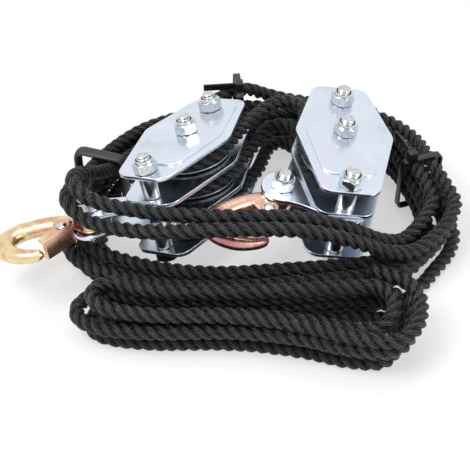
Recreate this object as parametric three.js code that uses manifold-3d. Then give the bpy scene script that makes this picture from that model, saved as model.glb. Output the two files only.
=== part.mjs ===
// Block and tackle stowed with its rope: a triple-sheave hook block and a block with two sheaves and a
// becket, five falls of rope reeved between them, a round coil and a hank of the rope left over, a black
// band and two ties on the coil. Millimetres, +Z up, the origin on the floor under the middle of the pile.
import * as THREE from "three";
import { mergeVertices } from "three/addons/utils/BufferGeometryUtils.js";
import Module from "manifold-3d";

const wasm = await Module();
wasm.setup();

const degree = Math.PI / 180;

// Running clearances
const seatGap = 0.3;
const holeSlack = 0.3;
const cutOverrun = 2;
const roundSides = 12;
const eyeSides = 20;
const floorBlock = [500, 500, 20];

// Cheek plates: an elongated hexagon with rounded corners and a raised panel on the outer ones
const plateThick = 2.5;
const plateHalfWidth = 31;
const farReach = 47.5;
const hookReach = 55.5;
const endHalfWidth = 17;
const plateCorner = 12;
const endCorner = 9;
const panelInset = 6.5;
const panelRise = 1;
const panelCorner = 8;
const cheekGap = 15;
const gapCount = 3;
const farBoltAt = 31;
const hookBoltAt = 48;

// Fasteners
const boltRadius = 4;
const headAcross = 13;
const headHeight = 5.3;
const nutHeight = 6.2;
const nutCollar = 1.8;
const nutCollarRadius = 5.6;
const threadEnd = 2.6;
const boltChamfer = 0.8;
const spacerRadius = 5.6;
const nutTurn = 40;
const hookNutTurn = 12;

// Sheaves
const sheaveRadius = 24;
const grooveRadius = 17.4;
const sheaveWidth = 13;
const hubRadius = 9;
const rimLip = 1.2;
const grooveShare = 0.86;
const grooveFloorShare = 0.4;
const sheaveSides = 20;

// Hanger straps and their bolt
const strapThick = 2.8;
const strapLength = 40;
const strapEndRadius = 13.5;
const strapWaist = 9.5;
const strapGap = 9;
const strapFlareAngle = 55;
const strapArcSteps = 7;
const strapWaistSteps = 5;

// Hook and latch
const eyeRadius = 11.5;
const eyeThick = 8;
const hookThick = 10.5;
const neckWidth = 10;
const spineWidth = 12.5;
const bowlWidth = 14;
const tipWidth = 7;
const hookLength = 61;
const hookDepth = 30;
const hookSteps = 22;
const hookSides = 10;
const hookEndShare = 0.6;
const latchBackShare = 0.9;
const latchFrontShare = 0.1;
const latchHeelShare = 0.6;
const latchPivotAlong = 18;
const latchPivotOff = 10.5;
const latchWall = 1.3;
const latchWidth = 12.4;
const latchDepth = 10.4;
const rivetRadius = 2;
const rivetHeadRadius = 3.4;
const rivetHeadHeight = 1.1;

// Rope
const ropeDiameter = 9.5;
const ropeRadius = ropeDiameter / 2;
const coilSides = 6;
const stretchSides = 8;
const loopSteps = 24;
const turnPitch = 10.4;
const layerPitch = 8.8;
const floorCut = 0.95;
const endStraight = ropeDiameter;
const climbHalf = 0.25;
const wrapStep = 30;
const wrapLeads = [18, 36];
const eyeStep = 45;

// Where the two blocks lie: centre of the stack on the axle, and how each is turned
const rightPlace = { at: [64.7, 6, 40], yaw: -90, pitch: 0, roll: -7, strap: -114, hook: -55 };
const leftPlace = { at: [-24.8, -0.6, 42], yaw: -118, pitch: -6, roll: 15, strap: -65, hook: -52 };

// The round coil about the blocks: the path of its outermost turn seen from above, counter-clockwise from
// the front right, and the places along it, as shares of a turn, where its turns fan out or are lifted
const coilOutline = [
  [123, -52],
  [142, -18],
  [132, 12],
  [113, 60],
  [68, 83.5],
  [-8, 86.5],
  [-68, 64],
  [-96, 20],
  [-104, -26],
  [-97.5, -54],
  [-40, -79.5],
  [50, -77],
  [94, -70.5],
];
const coilLayers = 4;
const coilSteps = 176;
const coilFans = [
  { at: 0.07, half: 0.14, extra: 4 },
  { at: 0.58, half: 0.12, extra: 0.8 },
  { at: 0.71, half: 0.12, extra: 1.2 },
];
const sideTieStep = 4;
const backTieStep = 9;
const bandStep = 13;
const lifts = [
  { at: 0.8, half: 0.17, rise: 33, fromLayer: 3 },
  { at: sideTieStep / loopSteps, half: 0.07, rise: 3.6, fromLayer: 0 },
  { at: backTieStep / loopSteps, half: 0.07, rise: 3.6, fromLayer: 0 },
  { at: bandStep / loopSteps, half: 0.07, rise: 4.6, fromLayer: 0 },
];
const lean = { at: 0.665, half: 0.15, angle: 72, stack: 14, height: 56.5, fromHeight: 2.4, about: 0.67 };

// The hank in front
const hankOutline = [
  [88, -78.5],
  [48, -81.5],
  [-36, -84.5],
  [-58, -82],
  [-77, -77],
  [-91, -83],
  [-94, -97],
  [-82, -108],
  [-58, -114.5],
  [20, -118],
  [66, -131],
  [92, -133],
  [105, -119],
  [106, -92],
];
const hankSteps = 120;
const hankLayers = 4;
const hankFans = [{ at: 0.86, half: 0.2, extra: 5 }];

// Band and ties round the coil
const bandWidth = 9;
const bandWall = 2.2;
const tieWidth = 4.6;
const tieWall = 1.2;
const tieHead = [6, 7.5, 5];
const tieTail = 24;
const bindingReach = 60;
const bindingSlack = 0.8;

// The rope's free stretches, seen from above: the near falls between the blocks, the falls round their
// far ends, the eye on the becket, the hauling part down to the coil, and the link to the hank
const nearRoute = [[39, 47], [31.5, 49.5], [23.5, 44]];
const outerRoute = [
  [-19, 50.5],
  [-9, 55.5],
  [5, 56.8],
  [22, 58.6],
  [50, 59.5],
  [70, 59.8],
  [80.5, 58.6],
  [86, 51.5],
];
const becketRoute = [[46.5, 53], [55.5, 49.6]];
const becketLead = [[50.2, 34.5], [43.5, 41.5]];
const haulRoute = [[-18, 56, 50.5], [-9, 68.5, 48.5], [0, 78, 47], [10, 85, 42.5], [19, 89, 36.5]];
const linkRoute = [[110, -68], [105.5, -75]];

// Finishes
const finish = {
  zinc: new THREE.MeshStandardMaterial({ color: "#c9d0d8", roughness: 0.28, metalness: 0.9 }),
  bright: new THREE.MeshStandardMaterial({ color: "#d6d8da", roughness: 0.2, metalness: 1 }),
  passivated: new THREE.MeshStandardMaterial({ color: "#d7a77c", roughness: 0.35, metalness: 0.85 }),
  rope: new THREE.MeshStandardMaterial({ color: "#1c1c1e", roughness: 0.6, metalness: 0 }),
  band: new THREE.MeshStandardMaterial({ color: "#141416", roughness: 0.35, metalness: 0 }),
  sheave: new THREE.MeshStandardMaterial({ color: "#b9bec4", roughness: 0.4, metalness: 0.8 }),
};

const tackle = new THREE.Group();
const last = (list) => list[list.length - 1];

// Booleans
function solidOf(geometry) {
  const bare = geometry.clone();
  bare.deleteAttribute("normal");
  bare.deleteAttribute("uv");
  const merged = mergeVertices(bare, 1e-4);
  const solid = new wasm.Manifold(
    new wasm.Mesh({
      numProp: 3,
      vertProperties: new Float32Array(merged.attributes.position.array),
      triVerts: new Uint32Array(merged.index.array),
    }),
  );
  return solid;
}

function geometryOf(solid) {
  const mesh = solid.getMesh();
  const geometry = new THREE.BufferGeometry();
  geometry.setAttribute("position", new THREE.BufferAttribute(new Float32Array(mesh.vertProperties), 3));
  geometry.setIndex(new THREE.BufferAttribute(new Uint32Array(mesh.triVerts), 1));
  geometry.computeVertexNormals();
  return geometry;
}

function joined(...geometries) {
  return geometryOf(geometries.map(solidOf).reduce((sum, next) => sum.add(next)));
}

function cut(geometry, ...tools) {
  return geometryOf(tools.map(solidOf).reduce((left, tool) => left.subtract(tool), solidOf(geometry)));
}

// Upright cylinder between two heights
function post(radius, low, high, sides = roundSides, x = 0, y = 0) {
  const shape = new THREE.CylinderGeometry(radius, radius, high - low, sides);
  shape.rotateX(90 * degree);
  shape.translate(x, y, (low + high) / 2);
  return shape;
}

function turned(profile, sides = roundSides) {
  const shape = new THREE.LatheGeometry(profile.map(([r, z]) => new THREE.Vector2(r, z)), sides);
  shape.rotateX(90 * degree);
  return shape;
}

function block(width, depth, height, x = 0, y = 0, z = 0) {
  const shape = new THREE.BoxGeometry(width, depth, height);
  shape.translate(x, y, z);
  return shape;
}

// Closed outline with each corner rounded by its own radius
function roundedOutline(corners, arcSteps = 3) {
  const outline = [];
  corners.forEach(([x, y, radius], i) => {
    const here = new THREE.Vector2(x, y);
    const before = corners[(i + corners.length - 1) % corners.length];
    const after = corners[(i + 1) % corners.length];
    const back = new THREE.Vector2(before[0], before[1]).sub(here).normalize();
    const on = new THREE.Vector2(after[0], after[1]).sub(here).normalize();
    const half = Math.acos(THREE.MathUtils.clamp(back.dot(on), -1, 1)) / 2;
    const reach = radius / Math.tan(half);
    const centre = here.clone().addScaledVector(back.clone().add(on).normalize(), radius / Math.sin(half));
    const first = here.clone().addScaledVector(back, reach).sub(centre).angle();
    let sweep = here.clone().addScaledVector(on, reach).sub(centre).angle() - first;
    if (sweep > Math.PI) sweep -= 2 * Math.PI;
    if (sweep < -Math.PI) sweep += 2 * Math.PI;
    for (let step = 0; step <= arcSteps; step += 1) {
      const angle = first + (sweep * step) / arcSteps;
      outline.push(new THREE.Vector2(centre.x + radius * Math.cos(angle), centre.y + radius * Math.sin(angle)));
    }
  });
  return outline;
}

function extruded(outline, low, high, holes = []) {
  const shape = new THREE.Shape(outline);
  for (const [x, y, radius] of holes) {
    shape.holes.push(new THREE.Path().absarc(x, y, radius, 0, 2 * Math.PI, true));
  }
  const solid = new THREE.ExtrudeGeometry(shape, { depth: high - low, bevelEnabled: false, curveSegments: 10 });
  solid.translate(0, 0, low);
  return solid;
}

function mesh(group, name, geometry, material) {
  const piece = new THREE.Mesh(geometry, material);
  piece.name = name;
  group.add(piece);
  return piece;
}

// Heights in a block, measured from the middle of its stack
const stackHalf = (gapCount * cheekGap + (gapCount + 1) * plateThick) / 2;
const levelPitch = cheekGap + plateThick;
const levels = { top: levelPitch, middle: 0, bottom: -levelPitch };
const boltHoleRadius = boltRadius + holeSlack;
const pitchRadius = grooveRadius + seatGap + ropeRadius;

// Cheek plates
function plateOutline(inset = 0) {
  const halfWidth = plateHalfWidth - inset;
  const far = -(farReach - inset);
  const hook = hookReach - inset;
  const end = endHalfWidth - inset / 2;
  return [
    [hook, -end, endCorner],
    [hook, end, endCorner],
    [0, halfWidth, plateCorner],
    [far, end, endCorner],
    [far, -end, endCorner],
    [0, -halfWidth, plateCorner],
  ];
}

const boltPlaces = [
  ["hook_end", hookBoltAt],
  ["axle", 0],
  ["far_end", -farBoltAt],
];

function cheekPlate(low, side) {
  const holes = boltPlaces.map(([, x]) => [x, 0, boltHoleRadius]);
  const sheet = extruded(roundedOutline(plateOutline()), low, low + plateThick, holes);
  if (side === 0) return sheet;
  const nutFlat = headAcross / 2 + panelRise;
  const panelEnd = hookBoltAt - nutFlat - seatGap;
  const end = endHalfWidth - panelInset / 2;
  const taper = (plateHalfWidth - panelInset - end) / (hookReach - panelInset);
  const panelEndHalf = plateHalfWidth - panelInset - taper * panelEnd;
  const panel = [
    [panelEnd, -panelEndHalf, panelCorner],
    [panelEnd, panelEndHalf, panelCorner],
    [0, plateHalfWidth - panelInset, plateCorner],
    [-(farReach - panelInset / 2), end, endCorner],
    [-(farReach - panelInset / 2), -end, endCorner],
    [0, -(plateHalfWidth - panelInset), plateCorner],
  ];
  const outline = roundedOutline(panel, 2);
  const face = side > 0 ? low + plateThick : low;
  const raised = extruded(outline, face - panelRise, face + panelRise, holes.slice(1));
  const inner = outline.map((p) => p.clone().multiplyScalar(1 - plateThick / plateHalfWidth));
  const innerFace = side > 0 ? low : low + plateThick;
  const pocket = extruded(inner, innerFace - panelRise, innerFace + panelRise);
  return cut(joined(sheet, raised), pocket);
}

// Hexagon bolt with its head below, running up to a chamfered end
function hexBolt(underHead, top) {
  const head = post(headAcross / 2 / Math.cos(30 * degree), underHead - headHeight, underHead, 6);
  const dome = turned(
    [
      [0, underHead - headHeight],
      [headAcross / 2, underHead - headHeight],
      [headAcross / 2 / Math.cos(30 * degree), underHead - headHeight + boltChamfer],
      [headAcross, underHead],
      [0, underHead],
    ],
  );
  const shank = turned(
    [
      [0, underHead - headHeight / 2],
      [boltRadius, underHead - headHeight / 2],
      [boltRadius, top - boltChamfer],
      [boltRadius - boltChamfer, top],
      [0, top],
    ],
  );
  return geometryOf(solidOf(head).intersect(solidOf(dome)).add(solidOf(shank)));
}

// Lock nut: a hexagon with chamfered corners and the round collar of its insert
function lockNut(low) {
  const hexagon = post(headAcross / 2 / Math.cos(30 * degree), low, low + nutHeight, 6);
  const rounding = turned(
    [
      [0, low],
      [headAcross / 2, low],
      [headAcross / 2 / Math.cos(30 * degree), low + boltChamfer],
      [headAcross / 2 / Math.cos(30 * degree), low + nutHeight - boltChamfer],
      [headAcross / 2, low + nutHeight],
      [0, low + nutHeight],
    ],
  );
  const collar = turned(
    [
      [0, low + nutHeight / 2],
      [nutCollarRadius, low + nutHeight / 2],
      [nutCollarRadius, low + nutHeight + nutCollar - boltChamfer],
      [nutCollarRadius - boltChamfer, low + nutHeight + nutCollar],
      [0, low + nutHeight + nutCollar],
    ],
  );
  const bore = post(boltHoleRadius, low - cutOverrun, low + nutHeight + nutCollar + cutOverrun);
  return geometryOf(solidOf(hexagon).intersect(solidOf(rounding)).add(solidOf(collar)).subtract(solidOf(bore)));
}

function tube(outer, inner, low, high) {
  return turned(
    [
      [inner, low],
      [outer, low],
      [outer, high],
      [inner, high],
      [inner, low],
    ],
  );
}

function sheave(level) {
  const half = sheaveWidth / 2;
  const hubHalf = cheekGap / 2 - seatGap;
  const lip = half - rimLip;
  const rising = grooveRadius + ropeRadius / 3;
  const profile = [
    [boltHoleRadius, -hubHalf],
    [hubRadius, -hubHalf],
    [hubRadius, -half],
    [sheaveRadius, -half],
    [sheaveRadius, -lip],
    [rising, -lip * grooveShare],
    [grooveRadius, -lip * grooveFloorShare],
    [grooveRadius, lip * grooveFloorShare],
    [rising, lip * grooveShare],
    [sheaveRadius, lip],
    [sheaveRadius, half],
    [hubRadius, half],
    [hubRadius, hubHalf],
    [boltHoleRadius, hubHalf],
    [boltHoleRadius, -hubHalf],
  ];
  const wheel = turned(profile, sheaveSides);
  wheel.translate(0, 0, level);
  return wheel;
}

// Hanger strap: two round ends and a drawn-in waist
function strapOutline() {
  const flare = strapEndRadius * Math.cos(strapFlareAngle * degree);
  const rise = strapEndRadius * Math.sin(strapFlareAngle * degree);
  const span = strapLength - 2 * flare;
  const outline = [];
  const arc = (x, from, to) => {
    for (let step = 0; step <= strapArcSteps; step += 1) {
      const angle = THREE.MathUtils.lerp(from, to, step / strapArcSteps) * degree;
      outline.push(new THREE.Vector2(x + strapEndRadius * Math.cos(angle), strapEndRadius * Math.sin(angle)));
    }
  };
  const waist = (side) => {
    for (let step = 1; step < strapWaistSteps; step += 1) {
      const share = step / strapWaistSteps;
      const along = side > 0 ? 1 - share : share;
      const half = rise - (rise - strapWaist) * Math.sin(Math.PI * share);
      outline.push(new THREE.Vector2(flare + along * span, side * half));
    }
  };
  arc(strapLength, strapFlareAngle - 180, 180 - strapFlareAngle);
  waist(1);
  arc(0, strapFlareAngle, 360 - strapFlareAngle);
  waist(-1);
  return outline;
}

function strap(low) {
  return extruded(strapOutline(), low, low + strapThick, [
    [0, 0, boltHoleRadius],
    [strapLength, 0, boltHoleRadius],
  ]);
}

// Hook body: oval sections swept along the neck, the spine, the bowl and the tip
const hookLine = new THREE.CatmullRomCurve3(
  [
    [0.12, 0],
    [0.3, -0.1],
    [0.52, -0.16],
    [0.74, -0.12],
    [0.87, 0.08],
    [0.89, 0.34],
    [0.8, 0.68],
    [0.66, 0.87],
    [0.5, 0.95],
  ].map(([alongShare, offShare]) => new THREE.Vector3(alongShare * hookLength, offShare * hookDepth, 0)),
  false,
  "centripetal",
);

// Width and thickness of the section, each at its share of the way from the eye to the tip
const hookWidthShares = [[0, neckWidth], [0.25, spineWidth], [0.6, bowlWidth], [1, tipWidth]];
const hookThickShares = [[0, eyeThick], [0.2, hookThick], [0.7, hookThick], [1, tipWidth]];

function sizeAt(shares, share) {
  const next = Math.max(1, shares.findIndex(([at]) => at >= share));
  const [[from, low], [to, high]] = [shares[next - 1], shares[next]];
  return THREE.MathUtils.mapLinear(share, from, to, low, high);
}

// Skin over a row of rings, closed by a fan at both ends
function skinned(rings) {
  const sides = rings[0].length;
  const positions = [];
  const index = [];
  const centres = [rings[0], last(rings)].map((ring) =>
    ring.reduce((sum, p) => sum.add(p), new THREE.Vector3()).divideScalar(sides),
  );
  rings.forEach((ring) => ring.forEach((p) => positions.push(p.x, p.y, p.z)));
  centres.forEach((p) => positions.push(p.x, p.y, p.z));
  const first = rings.length * sides;
  for (let i = 0; i < sides; i += 1) {
    const next = (i + 1) % sides;
    for (let ring = 0; ring + 1 < rings.length; ring += 1) {
      const a = ring * sides + i;
      const b = ring * sides + next;
      index.push(a, b, b + sides, a, b + sides, a + sides);
    }
    const end = (rings.length - 1) * sides;
    index.push(first, next, i);
    index.push(first + 1, end + i, end + next);
  }
  const geometry = new THREE.BufferGeometry();
  geometry.setAttribute("position", new THREE.Float32BufferAttribute(positions, 3));
  geometry.setIndex(index);
  geometry.computeVertexNormals();
  return geometry;
}

function hookBody() {
  const rings = [];
  for (let step = 0; step <= hookSteps; step += 1) {
    const share = step / hookSteps;
    const centre = hookLine.getPointAt(share);
    const ahead = hookLine.getTangentAt(share);
    const across = new THREE.Vector3(-ahead.y, ahead.x, 0);
    const blunt = step === hookSteps ? hookEndShare : 1;
    const halfWidth = (sizeAt(hookWidthShares, share) * blunt) / 2;
    const halfThick = (sizeAt(hookThickShares, share) * blunt) / 2;
    const ring = [];
    for (let side = 0; side < hookSides; side += 1) {
      const angle = ((side + 0.5) / hookSides) * 2 * Math.PI;
      const out = across.clone().multiplyScalar(halfWidth * Math.cos(angle));
      ring.push(centre.clone().add(out).setZ(halfThick * Math.sin(angle)));
    }
    rings.push(ring);
  }
  const eye = post(eyeRadius, -eyeThick / 2, eyeThick / 2, eyeSides);
  const lugRadius = latchDepth / 2 - latchWall - seatGap;
  const lug = post(lugRadius, -eyeThick / 2, eyeThick / 2, roundSides, latchPivotAlong, latchPivotOff);
  const web = block(latchPivotOff, latchPivotOff, eyeThick, latchPivotAlong, latchPivotOff / 2, 0);
  const bore = post(boltHoleRadius, -eyeThick, eyeThick);
  const rivetHole = post(rivetRadius + holeSlack, -eyeThick, eyeThick, roundSides, latchPivotAlong, latchPivotOff);
  return cut(joined(skinned(rings), eye, lug, web), bore, rivetHole);
}

// Latch: a pressed channel that straddles the lug and closes on the inner side of the tip
const latchTip = hookLine.getPointAt(1);
const latchTurn = Math.atan2(
  latchTip.y - tipWidth / 2 - latchDepth / 2 - seatGap - latchPivotOff,
  latchTip.x - latchPivotAlong,
);
const latchReach = (latchTip.x - latchPivotAlong) / Math.cos(latchTurn) + tipWidth / 3;

function latch() {
  const half = latchDepth / 2;
  const outline = roundedOutline(
    [
      [-half, -half, half * latchBackShare],
      [latchReach, -half * latchFrontShare, latchWall],
      [latchReach, half, latchWall],
      [-half, half, half * latchHeelShare],
    ],
  );
  const outer = extruded(outline, -latchWidth / 2, latchWidth / 2);
  const channel = block(
    latchReach + latchDepth * 2,
    latchDepth * 2,
    latchWidth - 2 * latchWall,
    latchReach / 2,
    half - latchWall - latchDepth,
    0,
  );
  const hole = post(rivetRadius + holeSlack, -latchWidth, latchWidth);
  return cut(outer, channel, hole);
}

function rivet() {
  const end = latchWidth / 2 + seatGap;
  return turned(
    [
      [0, -end - rivetHeadHeight],
      [rivetHeadRadius - rivetHeadHeight / 2, -end - rivetHeadHeight],
      [rivetHeadRadius, -end],
      [rivetRadius, -end],
      [rivetRadius, end],
      [rivetHeadRadius, end],
      [rivetHeadRadius - rivetHeadHeight / 2, end + rivetHeadHeight],
      [0, end + rivetHeadHeight],
    ],
  );
}

// One block with its straps, hook and latch
function hookBlock(side, place, sheaveLevels) {
  const body = new THREE.Group();
  body.position.set(...place.at);
  body.rotation.set(place.roll * degree, place.pitch * degree, place.yaw * degree, "ZYX");
  tackle.add(body);

  for (let plate = 0; plate <= gapCount; plate += 1) {
    const low = stackHalf - plateThick - plate * levelPitch;
    const outward = plate === 0 ? 1 : plate === gapCount ? -1 : 0;
    mesh(body, `${side}_plate_${plate + 1}`, cheekPlate(low, outward), finish.zinc);
  }

  for (const [name, x] of boltPlaces) {
    const onPanel = name === "hook_end" ? 0 : panelRise;
    const under = -stackHalf - onPanel - seatGap;
    const nutLow = stackHalf + onPanel + seatGap;
    const top = nutLow + nutHeight + nutCollar + threadEnd;
    const bolt = mesh(body, `${side}_${name}_bolt`, hexBolt(under, top), finish.bright);
    bolt.position.x = x;
    const nut = mesh(body, `${side}_${name}_nut`, lockNut(nutLow), finish.bright);
    nut.position.x = x;
    nut.rotation.z = (x / hookReach) * nutTurn * degree;
  }

  for (const [name, level] of Object.entries(levels)) {
    const half = cheekGap / 2 - seatGap;
    const far = mesh(
      body,
      `${side}_far_spacer_${name}`,
      tube(spacerRadius, boltHoleRadius, level - half, level + half),
      finish.bright,
    );
    far.position.x = -farBoltAt;
    const hangerHalf = name === "middle" ? strapGap / 2 - seatGap : half;
    const hanger = mesh(
      body,
      `${side}_hanger_spacer_${name}`,
      tube(spacerRadius, boltHoleRadius, level - hangerHalf, level + hangerHalf),
      finish.bright,
    );
    hanger.position.x = hookBoltAt;
    if (sheaveLevels.includes(name)) {
      mesh(body, `${side}_sheave_${name}`, sheave(level), finish.sheave);
    } else {
      mesh(body, `${side}_axle_bush`, tube(hubRadius, boltHoleRadius, level - half, level + half), finish.bright);
    }
  }

  const hanger = new THREE.Group();
  hanger.position.x = hookBoltAt;
  hanger.rotation.z = place.strap * degree;
  body.add(hanger);

  mesh(hanger, `${side}_strap_upper`, strap(strapGap / 2), finish.zinc);
  mesh(hanger, `${side}_strap_lower`, strap(-strapGap / 2 - strapThick), finish.zinc);
  const strapFace = strapGap / 2 + strapThick + seatGap;
  const hookBoltTop = strapFace + nutHeight + nutCollar + threadEnd;
  const hookBolt = mesh(hanger, `${side}_hook_bolt`, hexBolt(-strapFace, hookBoltTop), finish.bright);
  hookBolt.position.x = strapLength;
  const hookNut = mesh(hanger, `${side}_hook_nut`, lockNut(strapFace), finish.bright);
  hookNut.position.x = strapLength;
  hookNut.rotation.z = hookNutTurn * degree;

  const hookGroup = new THREE.Group();
  hookGroup.position.x = strapLength;
  hookGroup.rotation.z = (place.hook - place.strap) * degree;
  hanger.add(hookGroup);
  mesh(hookGroup, `${side}_hook`, hookBody(), finish.passivated);
  const pivot = new THREE.Group();
  pivot.position.set(latchPivotAlong, latchPivotOff, 0);
  pivot.rotation.z = latchTurn;
  hookGroup.add(pivot);
  mesh(pivot, `${side}_latch`, latch(), finish.passivated);
  mesh(pivot, `${side}_latch_rivet`, rivet(), finish.bright);
  return body;
}

const rightBlock = hookBlock("right", rightPlace, ["top", "middle"]);
const leftBlock = hookBlock("left", leftPlace, ["top", "middle", "bottom"]);
tackle.updateMatrixWorld(true);

// Rope tubes with a flat-sided section held level, for the coils
function levelTube(points, radius, sides) {
  const up = new THREE.Vector3(0, 0, 1);
  const rings = points.map((p, i) => {
    const ahead = points[Math.min(i + 1, points.length - 1)].clone().sub(points[Math.max(i - 1, 0)]).normalize();
    const across = new THREE.Vector3().crossVectors(up, ahead).normalize();
    const over = new THREE.Vector3().crossVectors(ahead, across);
    const ring = [];
    for (let side = 0; side < sides; side += 1) {
      const angle = (side / sides) * 2 * Math.PI;
      ring.push(
        p
          .clone()
          .addScaledVector(across, radius * Math.cos(angle))
          .addScaledVector(over, radius * Math.sin(angle)),
      );
    }
    return ring;
  });
  return skinned(rings);
}

// Spiral in and out: how far in a piled coil is, in turns, and how high, in layers
function piled(turn, turns, layers) {
  const perLayer = turns / layers;
  const layer = Math.min(Math.floor(turn / perLayer), layers - 1);
  const into = turn - layer * perLayer;
  const inward = layer % 2 === 0 ? into : perLayer - into;
  const nearest = Math.round(turn / perLayer);
  const off = turn - nearest * perLayer;
  let height = layer;
  if (nearest > 0 && nearest < layers && Math.abs(off) < climbHalf) {
    height = nearest - 1 + THREE.MathUtils.smoothstep(off, -climbHalf, climbHalf);
  }
  return { inward, height };
}

const lowestCentre = ropeRadius * Math.cos(30 * degree) - floorCut;

// How strongly a place along a loop is inside a stretch, from 0 at its ends to 1 in its middle
function within(share, { at, half }) {
  const off = Math.abs(((((share - at) % 1) + 1.5) % 1) - 0.5);
  return off < half ? Math.cos((off / half) * 90 * degree) ** 2 : 0;
}

// A wound tube's ends run on straight for one diameter
function straightEnded(points) {
  const first = points[0].clone().sub(points[1]).setLength(endStraight).add(points[0]);
  const end = last(points);
  const beyond = end.clone().sub(points[points.length - 2]).setLength(endStraight).add(end);
  return [first, ...points, beyond];
}

// Route of a piled winding: each turn follows the outline, drawn in by its place in the spiral
function woundRoute(outline, steps, layers, fans, raised = [], leaning = null) {
  const turns = steps / loopSteps;
  const ring = new THREE.CatmullRomCurve3(
    outline.map(([x, y]) => new THREE.Vector3(x, y, 0)),
    true,
    "centripetal",
  );
  const points = [];
  for (let step = 0; step <= steps; step += 1) {
    const turn = step / loopSteps;
    const share = turn % 1;
    const { inward, height } = piled(turn, turns, layers);
    const ahead = ring.getTangent(share);
    const pitch = fans.reduce((sum, fan) => sum + fan.extra * within(share, fan), turnPitch);
    let inset = inward * pitch;
    let z = lowestCentre + height * layerPitch;
    for (const lift of raised) {
      z += lift.rise * within(share, lift) * THREE.MathUtils.clamp(height - lift.fromLayer + 1, 0, 1);
    }
    if (leaning && height > leaning.fromHeight) {
      const strength = within(share, leaning);
      const angle = leaning.angle * degree * strength;
      inset = inward * pitch * Math.cos(angle);
      z = THREE.MathUtils.lerp(z, Math.max(z, leaning.height), strength);
      z += (inward - leaning.about) * leaning.stack * Math.sin(angle);
    }
    points.push(ring.getPoint(share).add(new THREE.Vector3(-ahead.y * inset, ahead.x * inset, z)));
  }
  return straightEnded(points);
}

// Least distance between the skins of a tube's own turns, on points along it
function leastSelfGap(points) {
  const parts = 3;
  const apart = Math.round(loopSteps / 3) * parts;
  const fine = points.slice(1).flatMap((p, i) => {
    return [...Array(parts).keys()].map((part) => points[i].clone().lerp(p, part / parts));
  });
  let least = Infinity;
  for (let i = 0; i < fine.length; i += 1) {
    for (let j = i + apart; j < fine.length; j += 1) {
      const flat = Math.hypot(fine[i].x - fine[j].x, fine[i].y - fine[j].y);
      const steep = Math.abs(fine[i].z - fine[j].z) > flat;
      const reach = steep ? 2 * ropeRadius * Math.cos(30 * degree) : 2 * ropeRadius;
      least = Math.min(least, fine[i].distanceTo(fine[j]) - reach);
    }
  }
  return least;
}

function floorTrimmed(geometry) {
  const [wide, deep, tall] = floorBlock;
  return cut(geometry, block(wide, deep, tall, 0, 0, -tall / 2));
}

const coilPoints = woundRoute(coilOutline, coilSteps, coilLayers, coilFans, lifts, lean);
const hankPoints = woundRoute(hankOutline, hankSteps, hankLayers, hankFans);
mesh(tackle, "rope_coil", floorTrimmed(levelTube(coilPoints, ropeRadius, coilSides)), finish.rope);
mesh(tackle, "rope_hank", floorTrimmed(levelTube(hankPoints, ropeRadius, coilSides)), finish.rope);
console.log("least gap between turns, coil", leastSelfGap(coilPoints).toFixed(2), "mm");
console.log("least gap between turns, hank", leastSelfGap(hankPoints).toFixed(2), "mm");

// A curve that goes through its points as they are given, one step to each
class RoutedCurve extends THREE.Curve {
  constructor(points) {
    super();
    this.points = points;
  }

  getPoint(share, target = new THREE.Vector3()) {
    return target.copy(this.points[Math.round(share * (this.points.length - 1))]);
  }

  getPointAt(share, target) {
    return this.getPoint(share, target);
  }

  getTangentAt(share, target = new THREE.Vector3()) {
    const i = Math.round(share * (this.points.length - 1));
    const before = this.points[Math.max(i - 1, 0)];
    const after = this.points[Math.min(i + 1, this.points.length - 1)];
    return target.copy(after).sub(before).normalize();
  }
}

function stretch(points) {
  const round = [];
  for (let side = 0; side < stretchSides; side += 1) {
    const angle = ((side + 0.5) / stretchSides) * 2 * Math.PI;
    round.push(new THREE.Vector2(ropeRadius * Math.cos(angle), ropeRadius * Math.sin(angle)));
  }
  return new THREE.ExtrudeGeometry(new THREE.Shape(round), {
    steps: points.length - 1,
    bevelEnabled: false,
    extrudePath: new RoutedCurve(points),
  });
}

// Half a turn round a sheave, with the straight lead that the rope has between the cheeks on each side
function wrap(body, level, from) {
  const points = [];
  const reach = pitchRadius / Math.cos((wrapStep / 2) * degree);
  const put = (x, y) => points.push(body.localToWorld(new THREE.Vector3(x, y, levels[level])));
  [...wrapLeads].reverse().forEach((x) => put(-x, from * pitchRadius));
  for (let angle = 90; angle >= -90; angle -= wrapStep) {
    put(reach * Math.cos(angle * degree), from * reach * Math.sin(angle * degree));
  }
  wrapLeads.forEach((x) => put(-x, -from * pitchRadius));
  return points;
}

// A fall from one point to another over a route seen from above, its height changing evenly
function fall(from, route, to) {
  const flat = [from, ...route.map(([x, y]) => new THREE.Vector3(x, y, 0)), to];
  const lengths = [0];
  for (let i = 1; i < flat.length; i += 1) {
    lengths.push(lengths[i - 1] + Math.hypot(flat[i].x - flat[i - 1].x, flat[i].y - flat[i - 1].y));
  }
  return flat.slice(1, -1).map((p, i) => {
    const share = lengths[i + 1] / last(lengths);
    return new THREE.Vector3(p.x, p.y, THREE.MathUtils.lerp(from.z, to.z, share));
  });
}

// The eye round the far bolt of the right block, in the gap that holds no sheave
function becketEye() {
  const reach = (spacerRadius + seatGap + ropeRadius) / Math.cos((eyeStep / 2) * degree);
  const points = [];
  for (let angle = 90; angle >= -135; angle -= eyeStep) {
    const out = reach * Math.sin(angle * degree);
    const over = reach * Math.cos(angle * degree);
    points.push(rightBlock.localToWorld(new THREE.Vector3(-farBoltAt - out, over, levels.bottom)));
  }
  const height = points[0].z;
  const tail = becketRoute.map(([x, y]) => new THREE.Vector3(x, y, height));
  const lead = becketLead.map(([x, y]) => new THREE.Vector3(x, y, last(points).z));
  return [...tail, ...points, ...lead];
}

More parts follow.
